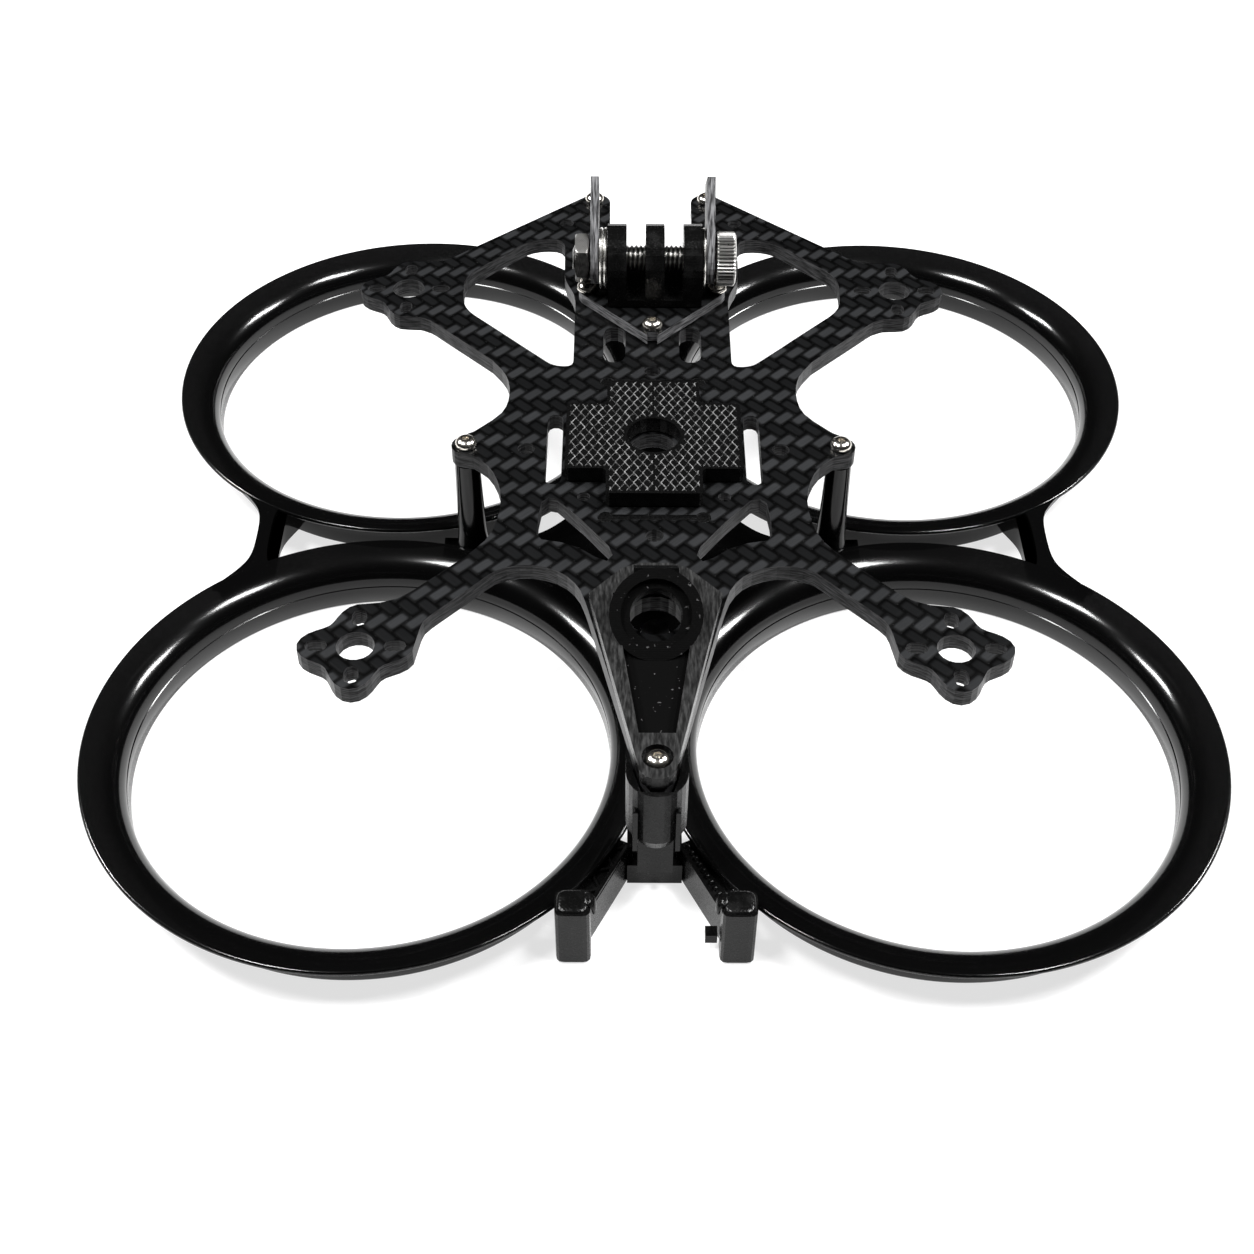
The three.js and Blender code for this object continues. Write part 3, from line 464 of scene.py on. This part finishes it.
def soften(node, width, segments=2):
    """A rounded edge on a carried-over piece, as a modifier."""
    mod = nodes[node].modifiers.new("edge", "BEVEL")
    mod.width = width * MM
    mod.segments = segments
    mod.limit_method = "ANGLE"
    mod.angle_limit = math.radians(40)
    mod.harden_normals = False


def dress(node, look):
    obj = nodes[node]
    if not obj.data.materials:
        obj.data.materials.append(look)
    for k in range(len(obj.data.materials)):
        obj.data.materials[k] = look


# ---- camera, light and floor ------------------------------------------------------------------
camera_data = bpy.data.cameras.new("camera")
camera = bpy.data.objects.new("camera", camera_data)
bpy.context.scene.collection.objects.link(camera)
bpy.context.scene.camera = camera
camera_data.sensor_width = 36.0
camera_data.lens = 51.89
camera_data.clip_start = 0.01
camera_data.clip_end = 50
pitch, yaw, roll = math.radians(45.461), math.radians(-0.094), math.radians(0.330)
forward = Vector((-math.sin(yaw) * math.cos(pitch), math.cos(yaw) * math.cos(pitch), -math.sin(pitch)))
right = Vector((math.cos(yaw), math.sin(yaw), 0))
above = right.cross(forward)
right_r = right * math.cos(roll) + above * math.sin(roll)
above_r = above * math.cos(roll) - right * math.sin(roll)
camera.matrix_world = Matrix((
    (right_r.x, above_r.x, -forward.x, -4.7 * MM),
    (right_r.y, above_r.y, -forward.y, -236.18 * MM),
    (right_r.z, above_r.z, -forward.z, 225.95 * MM),
    (0, 0, 0, 1),
))

world = bpy.data.worlds.new("studio")
bpy.context.scene.world = world
world.use_nodes = True
world.node_tree.nodes["Background"].inputs[0].default_value = (1, 1, 1, 1)
world.node_tree.nodes["Background"].inputs[1].default_value = 0.012


def softbox(name, place, target, wide, tall, power):
    data = bpy.data.lights.new(name, "AREA")
    data.shape = "RECTANGLE"
    data.size, data.size_y = wide, tall
    data.energy = power
    lamp = bpy.data.objects.new(name, data)
    bpy.context.scene.collection.objects.link(lamp)
    lamp.location = place
    lamp.rotation_mode = "QUATERNION"
    lamp.rotation_quaternion = (Vector(target) - Vector(place)).to_track_quat("-Z", "Y")
    return lamp


for side in (-1, 1):
    softbox("box_side" + str(side), (side * 0.85, 0.30, 0.85), (0, 0, 0), 0.36, 0.16, 17)
    softbox("box_above" + str(side), (side * 0.45, -0.15, 1.10), (0, 0, 0), 0.30, 0.18, 14)

floor_mesh = bpy.data.meshes.new("floor")
span = 6.0
floor_corners = [(-span, -span, 0), (span, -span, 0), (span, span, 0), (-span, span, 0)]
floor_mesh.from_pydata(floor_corners, [], [(0, 1, 2, 3)])
floor = bpy.data.objects.new("floor", floor_mesh)
bpy.context.scene.collection.objects.link(floor)
floor.location.z = -0.00005
paper = Net("paper")
paper_grain = paper.noise(paper.pos, 0.02, 2.0)
paper.set(Base_Color=paper.grey(paper.math("ADD", 0.30, paper.math("MULTIPLY", paper_grain, 0.03))),
          Roughness=0.9, Specular_IOR_Level=0.1, Emission_Color=(1, 1, 1, 1), Emission_Strength=0.72)
floor_mesh.materials.append(paper.mat)
floor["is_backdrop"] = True
bpy.context.scene.view_settings.view_transform = "Standard"


# ---- duct moulding ----------------------------------------------------------------------------
OUTER = THROAT + WALL
RIM = (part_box("duct_front_left")[1].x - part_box("duct_front_left")[0].x) / 2 / MM
RISE = TALL - STRAIGHT


def quarter(inner, low, rise, out, steps):
    return [(inner + (out - inner) * (1 - math.cos(math.pi / 2 * k / steps)),
             low + rise * math.sin(math.pi / 2 * k / steps)) for k in range(steps + 1)]


def duct_outline():
    edge = LIP / 2
    inside = quarter(THROAT, STRAIGHT, RISE, RIM - edge, 22)
    outside = quarter(OUTER, TALL - LIP - RISE, RISE, RIM - edge, 18)
    nose = [(RIM - edge + edge * math.sin(math.pi * k / 8), TALL - edge - edge * math.cos(math.pi * k / 8))
            for k in range(1, 8)]
    foot = [(THROAT + 0.25, 0.0), (OUTER - 0.3, 0.0), (OUTER - 0.08, 0.1), (OUTER, 0.35)]
    step = [(THROAT, STRAIGHT - 0.02), (THROAT + 0.14, STRAIGHT - 0.1), (THROAT + 0.14, STRAIGHT - 0.5),
            (THROAT, STRAIGHT - 0.6), (THROAT, 0.3)]
    return foot + outside + nose + inside[::-1] + step


ducts = ["duct_front_left", "duct_front_right", "duct_rear_left", "duct_rear_right"]
bm = bmesh.new()
for node in ducts:
    centre = middle(node)
    lathe(bm, duct_outline(), centre.x, centre.y, 224, closed=True)

# The lips melt together where neighbouring ducts meet on the centre line.
MOTOR_X, MOTOR_Y = middle("duct_front_right").x, middle("duct_front_right").y
MERGE = 7.0
for end in (1, -1):
    half = []
    for k in range(25):
        dy = -MERGE + 2 * MERGE * k / 24
        half.append((MOTOR_X - math.sqrt((RIM - 0.4) ** 2 - dy * dy), end * MOTOR_Y + dy))
    slab(bm, half + [(-x, y) for x, y in reversed(half)], TALL - LIP + 0.12, TALL - 0.06)

moulding = piece("duct_moulding", bm, smoked, smooth=50)
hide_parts(*ducts)


def carved(bm):
    """The solid in bm without the air space of the four ducts."""
    bmesh.ops.recalc_face_normals(bm, faces=bm.faces)
    parts = []
    for label, source in (("solid", bm), ("air", bmesh.new())):
        if label == "air":
            profile = [(THROAT + 0.8, -2)] + [(r + 0.45, z - 0.2) for r, z in
                       quarter(THROAT + 0.35, STRAIGHT, RISE, RIM - 0.45, 16)] + [(RIM, TALL + 4)]
            for node in ducts:
                lathe(source, profile, middle(node).x, middle(node).y, 160)
            bmesh.ops.recalc_face_normals(source, faces=source.faces)
        mesh = bpy.data.meshes.new(label)
        source.to_mesh(mesh)
        source.free()
        obj = bpy.data.objects.new(label, mesh)
        bpy.context.scene.collection.objects.link(obj)
        parts.append(obj)
    cutter = parts[0].modifiers.new("cut", "BOOLEAN")
    cutter.operation = "DIFFERENCE"
    cutter.solver = "EXACT"
    cutter.object = parts[1]
    bpy.context.view_layer.update()
    shaped = parts[0].evaluated_get(bpy.context.evaluated_depsgraph_get()).to_mesh()
    out = bmesh.new()
    out.from_mesh(shaped)
    for obj in parts:
        bpy.data.objects.remove(obj)
    return out


def gather(target, source):
    """Adds the mesh in source to target."""
    mesh = bpy.data.meshes.new("part")
    source.to_mesh(mesh)
    source.free()
    target.from_mesh(mesh)
    bpy.data.meshes.remove(mesh)


def clear_of_air(x, y, z):
    """The point pushed out of a duct's air space to the middle of its wall, in metres."""
    share = min(1.0, max(0.0, (z - STRAIGHT) / RISE))
    reach = min(THROAT + 0.7 + (RIM - THROAT) * (1 - math.cos(math.asin(share))), RIM - 0.1)
    for node in ducts:
        away = Vector((x - middle(node).x, y - middle(node).y))
        if away.length < reach:
            away = away.normalized() * reach
            x, y = middle(node).x + away.x, middle(node).y + away.y
    return x * MM, y * MM, z * MM


web = bmesh.new()
# Upright walls between front and rear ducts on the outer sides.
def both_ways(points):
    """The points, then the same ones mirrored front to rear in reverse order."""
    return points + [(x, -y) for x, y in reversed(points)]


strut_side = spline([(63.0, -14.5), (65.9, -9.5), (67.4, -5.6), (67.7, 0), (67.4, 5.6), (65.9, 9.5),
                     (63.0, 14.5)], 8)
strut_out = spline(both_ways([(72.2, 17.0), (71.4, 12.0), (70.6, 8.0), (70, 3)]), 8)
lip_fillet = spline(both_ways([(75.8, 13.6), (74.0, 11.4), (72.0, 8.8), (70.6, 6.2), (70.05, 3)]), 8)
for side in (-1, 1):
    for border, low_level, high_level in ((strut_out, 0.1, TALL - 0.05), (lip_fillet, TALL - 1.0, TALL - 0.1)):
        outline = [(side * x, y) for x, y in strut_side + border]
        levels = [low_level + (high_level - low_level) * k / 18 for k in range(19)]
        bm = bmesh.new()
        rows = grid(bm, [[clear_of_air(x, y, z) for x, y in outline] for z in levels])
        bm.faces.new(rows[0])
        bm.faces.new(rows[-1])
        gather(web, bm)

# Keel, hub and arms between the ducts.
nose_y = middle("horn_post_left").y
BAR_HALF, BAR_DEEP = 13.7, 2.4
hub = spline([(-4.3, 34), (-8.5, 21), (-11.5, 14.5), (-15.9, 8.8), (-20.7, 4.9), (-27, 3.5), (-37.2, 3.8)], 6)
hub += spline([(-37.2, -3.8), (-30, -8), (-20, -15), (-10, -30), (-4.5, -42), (-4.3, -58)], 6)
hub_half = [(-4.3, nose_y - BAR_DEEP)] + hub
low_z, high_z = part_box("duct_keel")[0].z / MM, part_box("duct_keel")[1].z / MM
bm = bmesh.new()
slab(bm, hub_half + [(-x, y) for x, y in reversed(hub_half)], low_z, high_z, 0.25)
gather(web, carved(bm))
bm = bmesh.new()
bar = [(-BAR_HALF, nose_y - BAR_DEEP), (BAR_HALF, nose_y - BAR_DEEP), (BAR_HALF, nose_y + BAR_DEEP),
       (-BAR_HALF, nose_y + BAR_DEEP)]
slab(bm, bar, low_z, high_z, 0.25)
gather(web, carved(bm))

posts = ["side_post_left", "side_post_right", "horn_post_left", "horn_post_right"]
for node in posts:
    low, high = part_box(node)
    centre = middle(node)
    foot, top = 3.0, high.z / MM
    bm = bmesh.new()
    lathe(bm, [(1.1, foot), (3.1, foot), (2.95, foot + 3), (2.62, foot + 5), (2.5, foot + 7), (2.15, top - 0.2),
               (1.95, top), (1.25, top), (1.2, top - 3)], centre.x, centre.y, 48)
    gather(web, carved(bm))
struts = piece("duct_web", web, solid_smoked, smooth=40)
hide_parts(*posts, "outer_strut_left", "outer_strut_right", "duct_keel")


# ---- screws -----------------------------------------------------------------------------------
def button_head(node):
    """M2 button head with a hexagon socket, on its shank."""
    low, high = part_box(node)
    centre = middle(node)
    x, y, top, bottom = centre.x, centre.y, high.z / MM, low.z / MM
    head = (high.x - low.x) / 2 / MM
    seat = top - 1.2
    steps = 48
    profile = [(0.02, bottom), (0.75, bottom), (0.95, bottom + 0.25), (0.95, seat), (head - 0.06, seat),
               (head, seat + 0.06), (head, seat + 0.26)]
    for k in range(1, 11):
        turn = math.radians(64) * k / 10
        profile.append((head * math.cos(turn), seat + 0.26 + 1.2 * math.sin(turn)))
    turns = [2 * math.pi * k / steps for k in range(steps)]
    rings = [[((x + r * math.cos(turn)) * MM, (y + r * math.sin(turn)) * MM, z * MM) for turn in turns]
             for r, z in profile]
    rim_z = profile[-1][1]
    spin = random.Random(node).random()
    for inset, z in ((0.0, rim_z), (0.04, rim_z - 0.08), (0.04, rim_z - 0.75)):
        ring = []
        for k in range(steps):
            angle = 2 * math.pi * k / steps
            within = (angle % (math.pi / 3)) - math.pi / 6
            r = (0.60 - inset) / math.cos(within)
            ring.append(((x + r * math.cos(angle + spin)) * MM, (y + r * math.sin(angle + spin)) * MM, z * MM))
        rings.append(ring)
    bm = bmesh.new()
    rows = grid(bm, rings)
    bm.faces.new(rows[0])
    bm.faces.new(rows[-1])
    obj = piece(node + "_steel", bm, steel, smooth=32)
    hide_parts(node)


for node in ["side_screw_left", "side_screw_right", "horn_screw_left", "horn_screw_right",
             "mount_screw_left", "mount_screw_right", "mount_screw_rear", "tail_screw"]:
    button_head(node)


# ---- battery pad relief -----------------------------------------------------------------------
pad_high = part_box("battery_pad")[1]
pad_half = pad_high.x / MM
pad_top = pad_high.z / MM
BAR_X, BAR_Y, HOLE = 7.95, 8.6, 4.5


def inside_pad(x, y):
    """Distance in from the nearest edge of the plus-shaped pad, negative outside."""
    one = min(pad_half - abs(x), BAR_Y - abs(y))
    two = min(BAR_X - abs(x), pad_half - abs(y))
    return min(max(one, two), math.hypot(x, y) - HOLE)


def ridge(x, y):
    """Height of the raised mesh: two families of wavy lines that cross as flattened diamonds."""
    pitch, swing = 1.5, 0.40
    sway = 0.12 * math.sin(x * 0.9 + y * 0.31)
    zigzag = swing * math.asin(math.sin((y + sway) * 2 * math.pi / 2.6)) * 2 / math.pi
    out = 0.0
    for line, height in ((x + zigzag, 0.36), (x - zigzag + pitch / 2, 0.24)):
        off = (line / pitch - round(line / pitch)) * pitch
        out = max(out, height * math.exp(-(off / 0.15) ** 2))
    return out


STEP = 0.13
count = int(2 * pad_half / STEP)
bm = bmesh.new()
corner = {}
for a in range(count + 1):
    for b in range(count + 1):
        x, y = -pad_half + a * STEP, -pad_half + b * STEP
        inset = inside_pad(x, y)
        if inset > 0.15:
            height = ridge(x, y) * min(1.0, max(0.0, (inset - 0.35) / 0.3)) if abs(x) > 0.12 else -0.05
            lift = 0.02 if inset > 0.4 else -0.12
            corner[a, b] = bm.verts.new((x * MM, y * MM, (pad_top - 0.14 + lift + height) * MM))
for a in range(count):
    for b in range(count):
        square = [(a, b), (a + 1, b), (a + 1, b + 1), (a, b + 1)]
        if all(s in corner for s in square):
            bm.faces.new([corner[s] for s in square])
relief = piece("battery_pad_mesh", bm, rubber_mesh, smooth=60)

# ---- carried-over pieces ----------------------------------------------------------------------
for node, look in (("main_plate", carbon_flat), ("mount_plate", carbon_small)):
    dress(node, look)
    soften(node, 0.2)
for node in ["side_plate_left", "side_plate_right"]:
    dress(node, carbon_upright)
    soften(node, 0.12)
for node in ["action_camera_mount", "tail_holder", "tail_post", "antenna_mount", "tie_head"]:
    dress(node, printed)
    soften(node, 0.3 if node == "antenna_mount" else 0.18, 3)
dress("action_camera_mount", printed_mount)
dress("tail_holder", holder)
dress("battery_pad", rubber)
soften("battery_pad", 0.25)
dress("tail_standoff", anodised)


# ---- printed tail parts: ribs, bumps, clips -----------------------------------------------------
arm_low, arm_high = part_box("antenna_mount")
clip_top = arm_high.z / MM
clip_x = arm_high.x / MM - 2.6
clip_rear = arm_low.y / MM
ARM_TOP, SPLAY = 7.4, math.radians(26.5)
along = Vector((-math.sin(SPLAY), -math.cos(SPLAY)))
across = Vector((along.y, -along.x))
root = Vector((-3.5, clip_rear + 16.5))


def on_arm(side, run, over):
    """A point on an arm's top, run millimetres out from the root and over from its inner edge."""
    point = root + along * run + across * over
    return (point.x if side < 0 else -point.x), point.y


def strip(bm, points, width, z0, z1):
    """A thin upright rib along a line of points."""
    one_side, other_side = [], []
    for k, p in enumerate(points):
        q = points[min(k + 1, len(points) - 1)]
        o = points[max(k - 1, 0)]
        way = (Vector(q) - Vector(o)).normalized()
        side_way = Vector((-way.y, way.x)) * width / 2
        one_side.append((p[0] + side_way.x, p[1] + side_way.y))
        other_side.append((p[0] - side_way.x, p[1] - side_way.y))
    slab(bm, one_side + other_side[::-1], z0, z1, min(width, z1 - z0) * 0.2, 1)


bm = bmesh.new()
for over in (0.35, 3.05):
    strip(bm, [on_arm(-1, run, over) for run in (0.8, 5, 9, 12.5)], 0.55, ARM_TOP - 0.3, ARM_TOP + 0.75)
for k in range(5):
    a, b = (0.35, 3.05) if k % 2 == 0 else (3.05, 0.35)
    strip(bm, [on_arm(-1, 1.0 + 2.2 * k, a), on_arm(-1, 3.2 + 2.2 * k, b)], 0.45, ARM_TOP - 0.3, ARM_TOP + 0.6)
strip(bm, [on_arm(1, run, 2.9) for run in (0.8, 5, 9, 12.5)], 0.7, ARM_TOP - 0.3, ARM_TOP + 0.7)
for k in range(9):
    x, y = on_arm(1, 1.2 + 1.22 * k, 1.2)
    lathe(bm, [(0.30, ARM_TOP - 0.3), (0.46, ARM_TOP), (0.46, ARM_TOP + 0.25), (0.34, ARM_TOP + 0.5),
               (0.12, ARM_TOP + 0.62)], x, y, 16)
piece("arm_ribs", bm, printed, smooth=40)

bm = bmesh.new()
for side in (-1, 1):
    x, y = side * clip_x, clip_rear + 2.35
    rings = []
    for k in range(13):
        t = math.pi / 2 * k / 12
        rings.append((2.35 * math.cos(t) ** 0.5 + 0.05, clip_top - 0.1 + 0.75 * math.sin(t)))
    shell = []
    for spread, z in rings:
        ring = []
        for m in range(40):
            angle = 2 * math.pi * m / 40
            c, d = math.cos(angle), math.sin(angle)
            ring.append(((x + spread * math.copysign(abs(c) ** 0.55, c)) * MM,
                         (y + spread * 0.92 * math.copysign(abs(d) ** 0.55, d)) * MM, z * MM))
        shell.append(ring)
    rows = grid(bm, shell)
    bm.faces.new(rows[0])
    bm.faces.new(rows[-1])
    # a hooked lip on the inner side of each clip
    hook = []
    for k in range(15):
        t = math.pi * k / 14
        centre = Vector((x - side * (2.2 - 0.9 * math.cos(t)), y + 0.4, clip_top - 1.6 + 2.0 * math.sin(t)))
        out = Vector((side * math.cos(t), 0, math.sin(t)))
        hook.append([tuple((centre + out * 0.42 * math.cos(a) + Vector((0, 1.3, 0)) * math.sin(a)) * MM)
                     for a in [2 * math.pi * m / 12 for m in range(12)]])
    rows = grid(bm, hook)
    bm.faces.new(rows[0])
    bm.faces.new(rows[-1])
piece("clip_caps", bm, printed, smooth=40)

# Upright channels moulded into the back of the tail pillar.
post_low, post_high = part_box("tail_post")
post_rear = post_low.y / MM
bm = bmesh.new()
for x in (-3.1, 3.1):
    strip(bm, [(x - 0.35, post_rear + 1.1), (x + 0.35, post_rear + 1.1)], 1.3, 15.5, post_high.z / MM - 4.0)
piece("pillar_ribs", bm, printed, smooth=40)

# ---- clamp: knurled bolt, nut, washers ----------------------------------------------------------
def about_bolt(stations, steps, radius):
    """Rings about the bolt's axis; radius gives millimetres for (station, angle)."""
    rings = []
    for along in stations:
        ring = []
        for k in range(steps):
            angle = 2 * math.pi * k / steps
            r = radius(along, angle)
            ring.append((along * MM, (axis_y + r * math.cos(angle)) * MM, (axis_z + r * math.sin(angle)) * MM))
        rings.append(ring)
    return rings


def closed_rings(bm, rings):
    rows = grid(bm, rings)
    bm.faces.new(rows[0])
    bm.faces.new(rows[-1])


def thread(along, angle):
    turn = (along / PITCH + angle / (2 * math.pi)) % 1.0
    depth = 0.5 * abs(2 * turn - 1)
    ease = min(1.0, (along - bolt_end) / 0.5)
    return (SHANK_R - depth) * (0.82 + 0.18 * ease)


bm = bmesh.new()
stations = [bolt_end + 0.08 * k for k in range(int((head_start - bolt_end) / 0.08) + 1)] + [head_start]
closed_rings(bm, about_bolt(stations, 64, thread))


def knurl(along, angle):
    if along > head_end - 0.01:
        return head_r - 0.55
    lip = min(1.0, (along - head_start) / 0.35, (head_end - along) / 0.45)
    base = head_r - 0.45 * (1 - max(0.0, lip)) ** 2
    return base - 0.32 * (0.5 + 0.5 * math.cos(RIDGES * angle)) * max(0.0, lip)


head_stations = [head_start + HEAD_L * k / 18 for k in range(18)] + [head_end - 0.2, head_end - 0.008]
rings = about_bolt(head_stations, RIDGES * 6, knurl)
steps = RIDGES * 6
for inset, along in ((0.45, head_end - 0.004), (0.0, head_end), (-1.0, head_end), (-1.1, head_end - 0.1),
                     (-1.1, head_end - 2.0)):
    ring = []
    for k in range(steps):
        angle = 2 * math.pi * k / steps
        if inset < 0:
            within = (angle % (math.pi / 3)) - math.pi / 6
            r = (3.05 + inset) / math.cos(within)
        else:
            r = head_r - 0.55 - (0.0 if inset else 0.25)
        ring.append((along * MM, (axis_y + r * math.cos(angle)) * MM, (axis_z + r * math.sin(angle)) * MM))
    rings.append(ring)
closed_rings(bm, rings)
bolt = piece("clamp_bolt_steel", bm, bolt_steel, body="clamp_bolt", smooth=40)
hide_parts("clamp_bolt")

nut_low, nut_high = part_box("clamp_nut")
nut_a, nut_b = nut_low.x / MM, nut_high.x / MM


def hexagon(along, angle):
    within = ((angle - math.radians(15)) % (math.pi / 3)) - math.pi / 6
    flat = 4.0 / math.cos(within)
    inset = min(along - nut_a, nut_b - along)
    return min(flat, 4.12 + 1.3 * inset)


def ring_solid(bm, stations, outer, inner, steps):
    """A round or six-sided ring about the bolt's axis."""
    outside = about_bolt(stations, steps, outer)
    inside = about_bolt(stations, steps, inner)
    grid(bm, outside + inside[::-1], True, True)


bm = bmesh.new()
ring_solid(bm, [nut_a, nut_a + 0.12, nut_a + 0.3, nut_a + 0.6, nut_b - 0.6, nut_b - 0.3, nut_b - 0.12, nut_b],
           hexagon, lambda along, angle: 2.62, 72)
nut = piece("clamp_nut_steel", bm, nut_steel, smooth=28)
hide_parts("clamp_nut")

for node in ["washer_left_inner", "washer_left_outer", "washer_right"]:
    low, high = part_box(node)
    a, b, outer_r = low.x / MM, high.x / MM, (high.z - low.z) / 2 / MM
    round_edge = min(0.18, (b - a) / 3)
    bm = bmesh.new()
    ring_solid(bm, [a, a + round_edge * 0.3, a + round_edge, b - round_edge, b - round_edge * 0.3, b],
               lambda x, angle: outer_r - max(0.0, round_edge - (x - a), round_edge - (b - x)) * 0.7,
               lambda x, angle: 2.62, 64)
    washer = piece(node + "_steel", bm, bright, smooth=30)
    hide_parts(node)

# ---- pad tongues that show in the plate's cross slots --------------------------------------------
plate_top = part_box("main_plate")[1].z / MM
for name, y in (("front", 18.4), ("rear", -17.2)):
    half = [(8 + 1.15 * math.cos(math.radians(t)), y + 1.15 * math.sin(math.radians(t)))
            for t in range(-150, 151, 15)]
    bm = bmesh.new()
    slab(bm, half + [(-x, yy) for x, yy in reversed(half)], plate_top - 2.6, plate_top - 0.12, 0.12)
    piece("pad_tongue_" + name, bm, rubber_tongue, smooth=40)

low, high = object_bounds()
